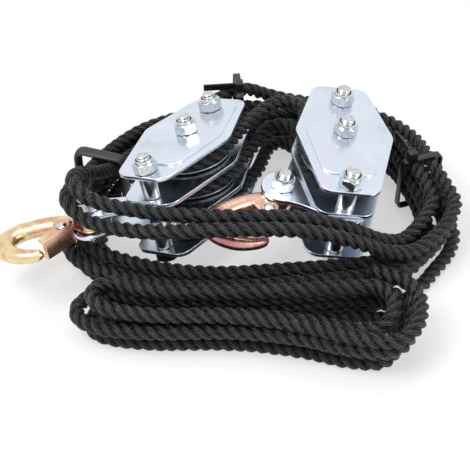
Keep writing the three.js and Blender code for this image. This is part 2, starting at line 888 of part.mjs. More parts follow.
const wraps = {
  leftBottom: wrap(leftBlock, "bottom", 1),
  rightMiddle: wrap(rightBlock, "middle", 1),
  leftMiddle: wrap(leftBlock, "middle", 1),
  rightTop: wrap(rightBlock, "top", 1),
  leftTop: wrap(leftBlock, "top", 1),
};
const eye = becketEye();

// Where a free stretch meets the end of a wound tube: two points in line with that end
function meeting(end, before) {
  const ahead = end.clone().sub(before).normalize();
  return [seatGap, ropeRadius].map((far) => end.clone().addScaledVector(ahead, far));
}

const haul = haulRoute.map((p) => new THREE.Vector3(...p));
const reeved = [
  ...eye,
  ...fall(last(eye), nearRoute.slice(1), wraps.leftBottom[0]),
  ...wraps.leftBottom,
  ...fall(last(wraps.leftBottom), outerRoute, wraps.rightMiddle[0]),
  ...wraps.rightMiddle,
  ...fall(last(wraps.rightMiddle), nearRoute, wraps.leftMiddle[0]),
  ...wraps.leftMiddle,
  ...fall(last(wraps.leftMiddle), outerRoute, wraps.rightTop[0]),
  ...wraps.rightTop,
  ...fall(last(wraps.rightTop), nearRoute, wraps.leftTop[0]),
  ...wraps.leftTop,
  ...haul,
  ...meeting(last(coilPoints), coilPoints[coilPoints.length - 2]).reverse(),
];
mesh(tackle, "rope_reeved", stretch(reeved), finish.rope);

const link = [
  ...meeting(coilPoints[0], coilPoints[1]),
  ...linkRoute.map(([x, y]) => new THREE.Vector3(x, y, lowestCentre)),
  ...meeting(hankPoints[0], hankPoints[1]).reverse(),
];
mesh(tackle, "rope_link", floorTrimmed(stretch(link)), finish.rope);

const routeLength = (points) => points.slice(1).reduce((sum, p, i) => sum + p.distanceTo(points[i]), 0);
for (const [name, points] of Object.entries({ coilPoints, hankPoints, reeved, link })) {
  console.log(name, points.length - 1, "steps", routeLength(points).toFixed(0), "mm");
}

// A strip round the ropes that pass through an upright plane across the coil
function stripRound(step, ropes, width, wall, headed) {
  const here = coilPoints[step + 1];
  const ahead = coilPoints[step + 2].clone().sub(coilPoints[step]).setZ(0).normalize();
  const out = new THREE.Vector3(ahead.y, -ahead.x, 0);
  const crossings = new THREE.Box2();
  for (const points of ropes) {
    for (let i = 0; i + 1 < points.length; i += 1) {
      for (let part = 0; part < 8; part += 1) {
        const p = points[i].clone().lerp(points[i + 1], part / 8).sub(here);
        const beside = Math.abs(p.dot(ahead)) > width / 2 + seatGap;
        if (!beside && p.length() < bindingReach) crossings.expandByPoint(new THREE.Vector2(p.dot(out), p.z + here.z));
      }
    }
  }
  const inner = crossings.expandByVector(
    new THREE.Vector2(ropeRadius + bindingSlack, ropeRadius + seatGap),
  );
  const ringOutline = (grow) => {
    const { min, max } = inner;
    const corner = ropeRadius / 2 + grow;
    return roundedOutline([
      [min.x - grow, min.y - grow, corner],
      [max.x + grow, min.y - grow, corner],
      [max.x + grow, max.y + grow, corner],
      [min.x - grow, max.y + grow, corner],
    ]);
  };
  const ring = new THREE.Shape(ringOutline(wall));
  ring.holes.push(new THREE.Path(ringOutline(0).reverse()));
  let strip = new THREE.ExtrudeGeometry(ring, { depth: width, bevelEnabled: false });
  strip.translate(0, 0, -width / 2);
  if (headed) {
    const [across, tall, deep] = tieHead;
    const headX = inner.min.x + across;
    const headY = inner.max.y + tall / 2;
    const head = block(across, tall, deep, headX, headY, 0);
    const tail = block(tieWall, tieWidth, tieTail, headX, headY + wall / 2, -tieTail / 2);
    strip = joined(strip, head, tail);
  }
  const turnTo = new THREE.Matrix4().makeBasis(out, new THREE.Vector3(0, 0, 1), ahead.clone().negate());
  strip.applyMatrix4(turnTo.setPosition(here.x, here.y, 0));
  return strip;
}

mesh(tackle, "rope_band", stripRound(bandStep, [coilPoints], bandWidth, bandWall, false), finish.band);
mesh(tackle, "side_tie", stripRound(sideTieStep, [coilPoints], tieWidth, tieWall, true), finish.band);
mesh(tackle, "back_tie", stripRound(backTieStep, [coilPoints, haul], tieWidth, tieWall, true), finish.band);

// The part's own origin: on the floor, under the middle of its box
const box = new THREE.Box3().setFromObject(tackle, true);
const middle = box.getCenter(new THREE.Vector3());
tackle.position.set(-middle.x, -middle.y, 0);

export default tackle;
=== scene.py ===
"""Block and tackle stowed with its rope. Two hook blocks of zinc-plated steel lie inside a coil of black
three-strand rope that is reeved five times between them, with a hank in front, a wide band and two ties."""

import math

import bpy
from mathutils import Matrix, Vector


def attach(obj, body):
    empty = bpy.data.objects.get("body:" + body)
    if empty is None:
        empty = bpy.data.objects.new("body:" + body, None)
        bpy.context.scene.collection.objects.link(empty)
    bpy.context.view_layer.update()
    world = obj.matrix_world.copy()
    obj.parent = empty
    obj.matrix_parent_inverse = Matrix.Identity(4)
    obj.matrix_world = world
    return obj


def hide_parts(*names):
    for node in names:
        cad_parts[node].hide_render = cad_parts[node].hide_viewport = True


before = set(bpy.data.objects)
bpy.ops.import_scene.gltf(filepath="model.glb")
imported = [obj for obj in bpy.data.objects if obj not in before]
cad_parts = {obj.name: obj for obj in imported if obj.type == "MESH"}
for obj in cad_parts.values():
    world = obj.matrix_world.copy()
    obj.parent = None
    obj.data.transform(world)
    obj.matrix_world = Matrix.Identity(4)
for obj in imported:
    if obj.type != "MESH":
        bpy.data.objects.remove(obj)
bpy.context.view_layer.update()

MM = 0.001
DEGREE = math.pi / 180

# Added to a point of the blocks' places and the rope's routes to put it in the part's frame, in millimetres
ORIGIN_SHIFT = Vector((-0.324, 20.0261, 0))

# Sizes shared with the solids, in millimetres
PLATE = {
    "thick": 2.5,
    "half_width": 31,
    "far": 47.5,
    "hook": 55.5,
    "end_half": 17,
    "corner": 12,
    "end_corner": 9,
    "edge": 0.35,
}
PANEL = {"inset": 6.5, "rise": 1, "hook_corner": 8, "edge": 0.5}
CHEEK_GAP = 15
LEVEL_PITCH = CHEEK_GAP + PLATE["thick"]
STACK_HALF = (3 * CHEEK_GAP + 4 * PLATE["thick"]) / 2
BOLTS = {"hook_end": 48, "axle": 0, "far_end": -31}
BOLT_RADIUS = 4
BOLT_CHAMFER = 0.5
SEAT_GAP = 0.3
BORE_RADIUS = BOLT_RADIUS + SEAT_GAP
HEX_ACROSS = 13
HEX_CHAMFER = 0.8
HEAD_HEIGHT = 5.3
NUT_HEIGHT = 6.2
NUT_COLLAR = 1.8
NUT_COLLAR_RADIUS = 5.6
THREAD_END = 2.6
THREAD_PITCH = 1.25
THREAD_DEPTH = 0.55
# How far each nut was left turned, in degrees: by its place along the block, and on the hook's bolt
NUT_TURN_PER_MM = 40 / PLATE["hook"]
HOOK_NUT_TURN = 12
SPACER_RADIUS = 5.6
SPACER_EDGE = 0.35
HUB_RADIUS = 9
SHEAVE_RADIUS = 24
SHEAVE_HALF = 6.5
GROOVE_FLOOR = 17.4
GROOVE_DEPTH = 4.9
GROOVE_HALF = 5.15
STRAP_LENGTH = 40
STRAP_GAP = 9
STRAP_THICK = 2.8
STRAP_RADIUS = 13.5
STRAP_WAIST = 9.5
STRAP_EDGE = 0.4
HOOK_LENGTH = 61
HOOK_DEPTH = 30
LATCH_PIVOT = (18, 10.5)
LUG_RADIUS = 3.6
LUG_THICK = 8
WEB_WIDTH = 10
RIVET_RADIUS = 2
RIVET_REACH = 6.2
ROPE_DIAMETER = 9.5
ROPE_RADIUS = ROPE_DIAMETER / 2
STRAND_OFFSET = 2.15
ROPE_LAY = 20
ROPE_SIDES = 18
ROPE_STEP = 1.55
FUSED_END = (0.55, 0.8, 0.94)
YARNS = 15
YARN_LEAN = 0.45

# Each block's middle, how it is turned and tipped, and which way its hanger and hook point, in degrees
PLACES = {
    "right": {"at": (64.7, 6, 40), "yaw": -90, "pitch": 0, "roll": -7, "strap": -114, "hook": -55},
    "left": {"at": (-24.8, -0.6, 42), "yaw": -118, "pitch": -6, "roll": 15, "strap": -65, "hook": -52},
}
SHEAVES = {"right": ("top", "middle"), "left": ("top", "middle", "bottom")}
LEVELS = {"top": LEVEL_PITCH, "middle": 0, "bottom": -LEVEL_PITCH}


def linear(code):
    """A colour given as sRGB hex, as the linear values that a shader takes."""
    channels = [int(code[i : i + 2], 16) / 255 for i in (1, 3, 5)]
    return [c / 12.92 if c <= 0.04045 else ((c + 0.055) / 1.055) ** 2.4 for c in channels] + [1]


def add_node(tree, kind, settings=None, links=None):
    """One node with its settings and sockets; a socket takes a value, or the output it is linked from.
    The setting "stops" is a ramp's row of colours, each at its place from 0 to 1."""
    node = tree.nodes.new(kind)
    for name, value in (settings or {}).items():
        if name == "stops":
            elements = node.color_ramp.elements
            while len(elements) < len(value):
                elements.new(0.5)
            for element, (place, code) in zip(elements, value):
                element.position = place
                element.color = linear(code)
        else:
            setattr(node, name, value)
    for name, value in (links or {}).items():
        if isinstance(value, bpy.types.NodeSocket):
            tree.links.new(value, node.inputs[name])
        else:
            node.inputs[name].default_value = value
    return node


def new_finish(name):
    """A new material and its empty node tree."""
    material = bpy.data.materials.new(name)
    material.use_nodes = True
    tree = material.node_tree
    tree.nodes.clear()
    return material, tree


def finished(tree, shader):
    """Ends a material's tree with the shader that it shows."""
    add_node(tree, "ShaderNodeOutputMaterial", {}, {"Surface": shader.outputs[0]})


def zinc_plate(name):
    """Sheet steel under a thin clear film: clouds about 20 mm across, and rolling lines 0.3 mm apart."""
    material, tree = new_finish(name)
    place = add_node(tree, "ShaderNodeTexCoord").outputs["Object"]
    cloud = add_node(
        tree, "ShaderNodeTexNoise", {}, {"Vector": place, "Scale": 45, "Detail": 4, "Roughness": 0.55}
    ).outputs["Fac"]
    stretched = add_node(tree, "ShaderNodeMapping", {}, {"Vector": place, "Scale": (1, 14, 1)})
    lines = add_node(
        tree, "ShaderNodeTexNoise", {}, {"Vector": stretched.outputs[0], "Scale": 260, "Detail": 2}
    ).outputs["Fac"]
    tint = add_node(tree, "ShaderNodeValToRGB", {"stops": BLUE_FILM}, {"Fac": cloud})
    rough = add_node(tree, "ShaderNodeMapRange", {}, {"Value": lines, "To Min": 0.16, "To Max": 0.28})
    bump = add_node(tree, "ShaderNodeBump", {}, {"Height": lines, "Strength": 0.08, "Distance": 0.0002})
    links = {"Base Color": tint.outputs["Color"], "Metallic": 1.0, "Roughness": rough.outputs["Result"]}
    links["Normal"] = bump.outputs["Normal"]
    finished(tree, add_node(tree, "ShaderNodeBsdfPrincipled", {}, links))
    return material


def forged_steel(name, film_stops, grain_depth):
    """Forged steel under a coloured film that drifts every 30 mm, on the scale's grain, drawn 2 mm coarse
    so that it shows."""
    material, tree = new_finish(name)
    place = add_node(tree, "ShaderNodeTexCoord").outputs["Object"]
    film = add_node(
        tree, "ShaderNodeTexNoise", {}, {"Vector": place, "Scale": 36, "Detail": 3, "Distortion": 0.8}
    ).outputs["Fac"]
    grain = add_node(
        tree, "ShaderNodeTexNoise", {}, {"Vector": place, "Scale": 520, "Detail": 3}
    ).outputs["Fac"]
    tint = add_node(tree, "ShaderNodeValToRGB", {"stops": film_stops}, {"Fac": film})
    rough = add_node(tree, "ShaderNodeMapRange", {}, {"Value": grain, "To Min": 0.2, "To Max": 0.36})
    bump = add_node(
        tree, "ShaderNodeBump", {}, {"Height": grain, "Strength": grain_depth, "Distance": 0.0003}
    )
    links = {"Base Color": tint.outputs["Color"], "Metallic": 1.0, "Roughness": rough.outputs["Result"]}
    links["Normal"] = bump.outputs["Normal"]
    finished(tree, add_node(tree, "ShaderNodeBsdfPrincipled", {}, links))
    return material


def grained(name, scale, stops, rough_range, depth, fixed):
    """A finish whose tint, shine and relief follow one fine grain; the scale is in grains to the metre."""
    material, tree = new_finish(name)
    place = add_node(tree, "ShaderNodeTexCoord").outputs["Object"]
    grain = add_node(
        tree, "ShaderNodeTexNoise", {}, {"Vector": place, "Scale": scale, "Detail": 2}
    ).outputs["Fac"]
    tint = add_node(tree, "ShaderNodeValToRGB", {"stops": stops}, {"Fac": grain})
    low, high = rough_range
    rough = add_node(tree, "ShaderNodeMapRange", {}, {"Value": grain, "To Min": low, "To Max": high})
    links = {"Base Color": tint.outputs["Color"], "Roughness": rough.outputs["Result"], **fixed}
    if depth:
        bump = add_node(tree, "ShaderNodeBump", {}, {"Height": grain, "Strength": depth, "Distance": 0.0002})
        links["Normal"] = bump.outputs["Normal"]
    finished(tree, add_node(tree, "ShaderNodeBsdfPrincipled", {}, links))
    return material


def laid_rope(name):
    """Bundles of shiny filament that lie slantwise on each strand, painted grey on the crowns and raised
    yarns as a highlight and painted black in the grooves as shade. They are drawn twice as coarse as real so
    that they show."""
    material, tree = new_finish(name)
    uv = add_node(tree, "ShaderNodeUVMap", {"uv_map": "lay"}).outputs["UV"]
    turn = 2 * math.pi

    def wave(around, along, kind):
        """A wave with so many crests in a turn round the rope and so many in a lay along it."""
        phase = add_node(
            tree,
            "ShaderNodeVectorMath",
            {"operation": "DOT_PRODUCT"},
            {0: uv, 1: (around * turn, along * turn, 0)},
        )
        return add_node(tree, "ShaderNodeMath", {"operation": kind}, {0: phase.outputs["Value"]}).outputs[0]

    yarn = wave(YARNS, YARNS * YARN_LEAN, "SINE")
    # Painted light: this mask of the strands' crowns lightens them as a highlight and darkens the grooves as
    # shade
    crown = wave(3, 0, "COSINE")
    shear = add_node(
        tree, "ShaderNodeVectorMath", {"operation": "DOT_PRODUCT"}, {0: uv, 1: (1, YARN_LEAN, 0)}
    ).outputs["Value"]
    split = add_node(tree, "ShaderNodeSeparateXYZ", {}, {"Vector": uv})
    lengthwise = add_node(tree, "ShaderNodeCombineXYZ", {}, {"X": shear, "Y": split.outputs["Y"]})
    # 70 filaments in the 30 mm round the rope, each shade of them 4 mm long
    stretched = add_node(
        tree, "ShaderNodeMapping", {}, {"Vector": lengthwise.outputs[0], "Scale": (70, 5, 1)}
    )
    filament = add_node(
        tree, "ShaderNodeTexNoise", {}, {"Vector": stretched.outputs[0], "Scale": 1, "Detail": 3}
    ).outputs["Fac"]
    height = add_node(
        tree, "ShaderNodeMath", {"operation": "MULTIPLY_ADD"}, {0: filament, 1: 2.4, 2: yarn}
    ).outputs[0]
    bump = add_node(tree, "ShaderNodeBump", {}, {"Height": height, "Strength": 1.0, "Distance": 0.00045})
    # Painted highlight: the raised filaments and yarns are tinted lighter
    raised = add_node(
        tree,
        "ShaderNodeMapRange",
        {},
        {"Value": height, "From Min": -0.3, "From Max": 2.5, "To Min": 0, "To Max": 1},
    )
    # Painted shade: the tint falls to 0.15 of its lightness in the grooves between the strands
    outer = add_node(
        tree,
        "ShaderNodeMapRange",
        {},
        {"Value": crown, "From Min": -1, "From Max": 0.5, "To Min": 0.15, "To Max": 1},
    )
    painted_sheen_and_shade = add_node(
        tree,
        "ShaderNodeMath",
        {"operation": "MULTIPLY"},
        {0: raised.outputs["Result"], 1: outer.outputs["Result"]},
    )
    tint = add_node(tree, "ShaderNodeValToRGB", {"stops": ROPE_SHEEN_AND_SHADE}, {"Fac": painted_sheen_and_shade.outputs[0]})
    rough = add_node(tree, "ShaderNodeMapRange", {}, {"Value": filament, "To Min": 0.28, "To Max": 0.5})
    links = {"Base Color": tint.outputs["Color"], "IOR": 1.49, "Roughness": rough.outputs["Result"]}
    links["Normal"] = bump.outputs["Normal"]
    finished(tree, add_node(tree, "ShaderNodeBsdfPrincipled", {}, links))
    return material


BLUE_FILM = [(0.3, "#ccd8e4"), (0.43, "#d6e2ee"), (0.5, "#dedfed"), (0.57, "#d8e5f0"), (0.7, "#e5e6f1")]
GOLD_FILM = [
    (0.34, "#d39a92"),
    (0.43, "#e2bc96"),
    (0.5, "#ecdcaa"),
    (0.56, "#e5c49c"),
    (0.63, "#d8a398"),
    (0.7, "#dcdfb4"),
]
# The right hook's film: rosier, and its darker tones partly painted shade where the hook lies among the
# black rope
ROSE_SHADED_FILM = [
    (0.34, "#b8787a"),
    (0.44, "#cd9590"),
    (0.52, "#dfb9a4"),
    (0.58, "#cf9690"),
    (0.66, "#c08284"),
    (0.72, "#dcd6b6"),
]
# The rope's painted light: near black as painted shade in the grooves, grey as a painted highlight on the
# crowns
ROPE_SHEEN_AND_SHADE = [(0.1, "#020203"), (0.45, "#131315"), (0.85, "#58585c")]
PITTED_ZINC = [(0.3, "#b9bec3"), (0.65, "#dcdfe1")]
TURNED_ZINC = [(0.3, "#8d9196"), (0.7, "#b4b8bc")]
BLACK_NYLON = [(0.3, "#08080a"), (0.7, "#121214")]
BLACK_RUBBER = [(0.3, "#1b1a1d"), (0.7, "#2c2b2f")]
FINISH = {
    # Cold-rolled sheet, bright zinc with a blue passivate: pale, softly clouded, a mirror seen from low
    "zinc_plate": zinc_plate("zinc_plate_blue_passivate"),
    # Steel bolts, nuts and sleeves in bright zinc: sharp reflections, broken by the pits of barrel plating,
    # drawn 2 mm coarse so that they show
    "bright_fastener": grained(
        "bright_zinc_fastener", 450, PITTED_ZINC, (0.26, 0.12), 0.04, {"Metallic": 1.0}
    ),
    # Turned and plated steel sheaves: duller and darker than the plates, faintly mottled every 2 mm
    "sheave_metal": grained(
        "turned_steel_sheave", 500, TURNED_ZINC, (0.3, 0.45), 0, {"Metallic": 1.0}
    ),
    # Forged steel in zinc with a yellow passivate: gold that drifts to pink and green where it is thicker
    "passivated_steel": forged_steel("forged_steel_yellow_passivate", GOLD_FILM, 0.12),
    # Laid rope of black polypropylene filament: a soft shine along each strand, with a painted highlight on
    # the crowns and painted shade in the grooves
    "rope_fibre": laid_rope("black_polypropylene_rope"),
    # Moulded black nylon of the ties and the nuts' inserts, on the inserts partly painted shade: a low, even
    # shine over a 1 mm grain
    "binding_plastic": grained(
        "moulded_black_nylon", 900, BLACK_NYLON, (0.3, 0.45), 0.15, {"IOR": 1.53}
    ),
}
# The same forged steel with a thicker, rosier film on the right block's hook, and rougher; its darker tint
# is partly painted shade where the hook lies among the black rope
ROSE_SHADED_FINISH = forged_steel("forged_steel_rose_passivate_shaded", ROSE_SHADED_FILM, 0.3)
# Soft moulded black rubber of the wide band: greyer and more matt than the nylon, with a 3 mm grain
BAND_FINISH = grained("soft_black_rubber", 350, BLACK_RUBBER, (0.42, 0.6), 0.15, {"IOR": 1.53})


def deselect():
    """Leaves edit mode, with nothing selected."""
    if bpy.context.mode != "OBJECT":
        bpy.ops.object.mode_set(mode="OBJECT")
    bpy.ops.object.select_all(action="DESELECT")


def chosen(piece):
    """Selects one piece alone and makes it the active one."""
    deselect()
    piece.select_set(True)
    bpy.context.view_layer.objects.active = piece


def modified(piece, kind, **settings):
    """Adds a modifier with its settings and applies it."""
    chosen(piece)
    modifier = piece.modifiers.new(kind.lower(), kind)
    for name, value in settings.items():
        setattr(modifier, name, value)
    bpy.ops.object.modifier_apply(modifier=modifier.name)


def boolean(piece, tool, operation):
    """Cuts a piece with a tool, or keeps what both share; the tool is used up."""
    modified(piece, "BOOLEAN", object=tool, operation=operation, solver="EXACT")
    bpy.data.objects.remove(tool, do_unlink=True)


def joined(piece, *others):
    """Makes the others part of the piece."""
    chosen(piece)
    for other in others:
        other.select_set(True)
    bpy.ops.object.join()


def place_matrix(side):
    """A block's own frame, in metres in the part's frame; its points are given in millimetres."""
    place = PLACES[side]
    turn = (
        Matrix.Rotation(place["yaw"] * DEGREE, 4, "Z")
        @ Matrix.Rotation(place["pitch"] * DEGREE, 4, "Y")
        @ Matrix.Rotation(place["roll"] * DEGREE, 4, "X")
    )
    where = Matrix.Translation(Vector(place["at"]) + ORIGIN_SHIFT)
    return Matrix.Scale(MM, 4) @ where @ turn


def along(x, turn=0, y=0):
    """A frame moved along the block and turned about its own upright."""
    return Matrix.Translation((x, y, 0)) @ Matrix.Rotation(turn * DEGREE, 4, "Z")


def hanger_matrix(side):
    """The frame of a block's hanger, on the hook-end bolt."""
    return place_matrix(side) @ along(BOLTS["hook_end"], PLACES[side]["strap"])


def hook_matrix(side):
    """The frame of a block's hook, on the bolt through its eye."""
    place = PLACES[side]
    return hanger_matrix(side) @ along(STRAP_LENGTH, place["hook"] - place["strap"])


def delivered(piece, name, matrix, body, slot, *nodes, smooth=35):
    """Puts a finished piece where it belongs, with its finish, its body and the solids it stands for."""
    chosen(piece)
    bpy.ops.object.transform_apply(location=True, rotation=True, scale=True)
    piece.data.transform(matrix)
    piece.name = name
    piece.data.name = name
    piece.data.materials.clear()
    piece.data.materials.append(FINISH[slot])
    bpy.ops.object.shade_smooth_by_angle(angle=smooth * DEGREE)
    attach(piece, body)
    if nodes:
        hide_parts(*nodes)
    return piece


def rounded_outline(corners, arc_steps=8):
    """An outline with each corner rounded by its own radius."""
    outline = []
    count = len(corners)
    for i, (x, y, radius) in enumerate(corners):
        here = Vector((x, y))
        back = (Vector(corners[i - 1][:2]) - here).normalized()
        ahead = (Vector(corners[(i + 1) % count][:2]) - here).normalized()
        half = math.acos(max(-1, min(1, back.dot(ahead)))) / 2
        reach = radius / math.tan(half)
        centre = here + (back + ahead).normalized() * (radius / math.sin(half))
        first = here + back * reach - centre
        end = here + ahead * reach - centre
        start_angle = math.atan2(first.y, first.x)
        sweep = (math.atan2(end.y, end.x) - start_angle + math.pi) % (2 * math.pi) - math.pi
        for step in range(arc_steps + 1):
            angle = start_angle + sweep * step / arc_steps
            outline.append((centre.x + radius * math.cos(angle), centre.y + radius * math.sin(angle)))
    return outline


def circle(x, y, radius, steps=32):
    """Outline of a round hole."""
    turns = [2 * math.pi * i / steps for i in range(steps)]
    return [(x + radius * math.cos(a), y + radius * math.sin(a)) for a in turns]


def sheet_piece(outlines, low, high, edge, edge_steps=2):
    """Flat sheet with holes, cut between two heights, its edges rounded over."""
    curve = bpy.data.curves.new("sheet", "CURVE")
    curve.dimensions = "2D"
    curve.fill_mode = "BOTH"
    curve.extrude = (high - low) / 2 - edge
    curve.bevel_depth = edge
    curve.bevel_resolution = edge_steps
    curve.offset = -edge
    for outline in outlines:
        spline = curve.splines.new("POLY")
        spline.points.add(len(outline) - 1)
        for point, (x, y) in zip(spline.points, outline):
            point.co = (x, y, 0, 1)
        spline.use_cyclic_u = True
    piece = bpy.data.objects.new("sheet", curve)
    bpy.context.collection.objects.link(piece)
    chosen(piece)
    bpy.ops.object.convert(target="MESH")
    piece = bpy.context.view_layer.objects.active
    piece.data.transform(Matrix.Translation((0, 0, (low + high) / 2)))
    return piece


def spun(profile, steps=40):
    """A solid of revolution about the upright axis, from (radius, height) pairs."""
    mesh = bpy.data.meshes.new("spun")
    mesh.from_pydata([(r, 0, z) for r, z in profile], [(i, i + 1) for i in range(len(profile) - 1)], [])
    piece = bpy.data.objects.new("spun", mesh)
    bpy.context.collection.objects.link(piece)
    chosen(piece)
    bpy.ops.object.mode_set(mode="EDIT")
    bpy.ops.mesh.select_all(action="SELECT")
    bpy.ops.mesh.spin(steps=steps, angle=2 * math.pi, center=(0, 0, 0), axis=(0, 0, 1))
    bpy.ops.mesh.select_all(action="SELECT")
    bpy.ops.mesh.remove_doubles(threshold=1e-4)
    bpy.ops.mesh.normals_make_consistent(inside=False)
    bpy.ops.object.mode_set(mode="OBJECT")
    return piece


def hexagon(low, high, top_chamfer, bottom_chamfer):
    """Hexagon bar cut to length, its corners turned off to a cone at each end."""
    flat = HEX_ACROSS / 2
    corner = flat / math.cos(30 * DEGREE)
    bpy.ops.mesh.primitive_cylinder_add(
        vertices=6, radius=corner, depth=high - low, location=(0, 0, (low + high) / 2)
    )
    bar = bpy.context.view_layer.objects.active
    spare = 0.01
    outside = corner + spare
    cone = spun(
        [
            (0, low - spare),
            (flat if bottom_chamfer else outside, low - spare),
            (outside, low + (bottom_chamfer or spare)),
            (outside, high - (top_chamfer or spare)),
            (flat if top_chamfer else outside, high + spare),
            (0, high + spare),
        ],
        64,
    )
    boolean(bar, cone, "INTERSECT")
    return bar


def plate_corners(hook, hook_half, hook_corner, half_width, far, far_half):
    """The six corners of a cheek plate or of its panel, each with its radius."""
    upper = [
        (hook, hook_half, hook_corner),
        (0, half_width, PLATE["corner"]),
        (-far, far_half, PLATE["end_corner"]),
    ]
    lower = [(x, -y, radius) for x, y, radius in upper]
    return [lower[0], *upper, lower[2], lower[1]]


def cheek_plate(side, number):
    """Cheek plate of pressed sheet; the outer two carry a raised panel under the axle and far bolts."""
    low = STACK_HALF - PLATE["thick"] - (number - 1) * LEVEL_PITCH
    end = PLATE["end_half"]
    corners = plate_corners(PLATE["hook"], end, PLATE["end_corner"], PLATE["half_width"], PLATE["far"], end)
    holes = [circle(x, 0, BORE_RADIUS) for x in BOLTS.values()]
    plate = sheet_piece([rounded_outline(corners), *holes], low, low + PLATE["thick"], PLATE["edge"])
    if number in (1, 4):
        inset = PANEL["inset"]
        end = PLATE["end_half"] - inset / 2
        panel_end = BOLTS["hook_end"] - HEX_ACROSS / 2 - PANEL["rise"] - SEAT_GAP
        half_width = PLATE["half_width"] - inset
        far = PLATE["far"] - inset / 2
        taper = (half_width - end) / (PLATE["hook"] - inset)
        panel_half = half_width - taper * panel_end
        panel = plate_corners(panel_end, panel_half, PANEL["hook_corner"], half_width, far, end)
        face = low + PLATE["thick"] if number == 1 else low
        bottom, top = face - PANEL["rise"], face + PANEL["rise"]
        raised = sheet_piece([rounded_outline(panel), *holes[1:]], bottom, top, PANEL["edge"], 3)
        joined(plate, raised)
    name = f"{side}_cheek_{number}"
    delivered(plate, name, place_matrix(side), "bundle", "zinc_plate", f"{side}_plate_{number}")


def threaded_end(low, high):
    """Profile of the thread that shows between two heights, up to a chamfered end."""
    profile = []
    turns = int((high - BOLT_CHAMFER - low) / THREAD_PITCH)
    for turn in range(turns):
        start = low + turn * THREAD_PITCH
        profile += [
            (BOLT_RADIUS, start + 0.1),
            (BOLT_RADIUS, start + 0.35),
            (BOLT_RADIUS - THREAD_DEPTH, start + 0.8),
        ]
    return profile + [(BOLT_RADIUS, high - BOLT_CHAMFER), (BOLT_RADIUS - BOLT_CHAMFER, high), (0, high)]


def hex_bolt(name, under, top, matrix, body, node):
    """Bolt with its head under one height and its threaded end at another."""
    head = hexagon(under - HEAD_HEIGHT, under, 0, HEX_CHAMFER)
    thread = threaded_end(top - THREAD_END - NUT_HEIGHT, top)
    shank = spun([(0, under - 1), (BOLT_RADIUS, under - 1), *thread], 32)
    joined(head, shank)
    delivered(head, name, matrix, body, "bright_fastener", node)


def lock_nut(name, low, matrix, body, node):
    """Lock nut: chamfered hexagon, the rolled collar that holds its insert, and the insert's dark ring, its
    black partly painted shade in the collar's gap.
    """
    nut = hexagon(low, low + NUT_HEIGHT, HEX_CHAMFER, HEX_CHAMFER)
    foot = low + NUT_HEIGHT - 2
    rim = low + NUT_HEIGHT + NUT_COLLAR
    outer = NUT_COLLAR_RADIUS
    collar = spun(
        [
            (BOLT_RADIUS + 0.35, foot),
            (outer + 0.1, foot),
            (outer, rim - 1.1),
            (outer - 0.2, rim - 0.4),
            (outer - 0.45, rim - 0.05),
            (outer - 0.7, rim),
            (outer - 0.75, rim - 0.8),
            (BOLT_RADIUS + 0.35, rim - 0.8),
            (BOLT_RADIUS + 0.35, foot),
        ],
        40,
    )
    joined(nut, collar)
    # The nylon insert, its black also painted shade in the gap between the collar and the bolt's end
    insert = spun(
        [
            (BOLT_RADIUS + 0.05, rim - 0.75),
            (outer - 0.8, rim - 0.75),
            (outer - 0.8, rim - 0.2),
            (BOLT_RADIUS + 0.3, rim - 0.2),
            (BOLT_RADIUS + 0.05, rim - 0.4),
            (BOLT_RADIUS + 0.05, rim - 0.75),
        ],
        32,
    )
    delivered(insert, f"{name}_insert", matrix, body, "binding_plastic")
    delivered(nut, name, matrix, body, "bright_fastener", node)


def spacer(name, low, high, outer, matrix, body, node):
    """Sleeve on a bolt, its outer edges broken."""
    profile = [
        (BORE_RADIUS, low),
        (outer - SPACER_EDGE, low),
        (outer, low + SPACER_EDGE),
        (outer, high - SPACER_EDGE),
        (outer - SPACER_EDGE, high),
        (BORE_RADIUS, high),
        (BORE_RADIUS, low),
    ]
    delivered(spun(profile, 32), name, matrix, body, "bright_fastener", node)


def sheave(side, level):
    """Turned sheave with a round groove, rolled rims and a stepped hub."""
    middle = LEVELS[level]
    hub_half = CHEEK_GAP / 2 - SEAT_GAP
    half, rim = SHEAVE_HALF, SHEAVE_RADIUS
    groove = []
    for step in range(13):
        angle = (-80 + 160 * step / 12) * DEGREE
        out = GROOVE_FLOOR + GROOVE_DEPTH - GROOVE_DEPTH * math.cos(angle)
        groove.append((out, middle + GROOVE_HALF * math.sin(angle)))
    flank = [
        (BORE_RADIUS, hub_half),
        (HUB_RADIUS, hub_half),
        (HUB_RADIUS, half - 0.6),
        (HUB_RADIUS + 2, half),
        (rim - 0.4, half),
        (rim, half - 0.4),
        (rim - 0.1, GROOVE_HALF + 0.25),
    ]
    lower = [(out, middle - off) for out, off in flank]
    upper = [(out, middle + off) for out, off in reversed(flank)]
    profile = [*lower, *groove, *upper, lower[0]]
    name = f"{side}_turned_sheave_{level}"
    body = f"{side}_wheel_{level}"
    delivered(spun(profile, 64), name, place_matrix(side), body, "sheave_metal", f"{side}_sheave_{level}")


def strap_outline():
    """Outline of a hanger strap: two round ends and a waist drawn in between them."""
    leave = 55
    flare = STRAP_RADIUS * math.cos(leave * DEGREE)
    rise = STRAP_RADIUS * math.sin(leave * DEGREE)
    span = STRAP_LENGTH - 2 * flare
    outline = []

    def arc(x, first, end):
        for step in range(21):
            angle = (first + (end - first) * step / 20) * DEGREE
            outline.append((x + STRAP_RADIUS * math.cos(angle), STRAP_RADIUS * math.sin(angle)))

    def waist(side):
        for step in range(1, 12):
            share = step / 12
            x = flare + (1 - share if side > 0 else share) * span
            outline.append((x, side * (rise - (rise - STRAP_WAIST) * math.sin(math.pi * share))))

    arc(STRAP_LENGTH, leave - 180, 180 - leave)
    waist(1)
    arc(0, leave, 360 - leave)
    waist(-1)
    return outline


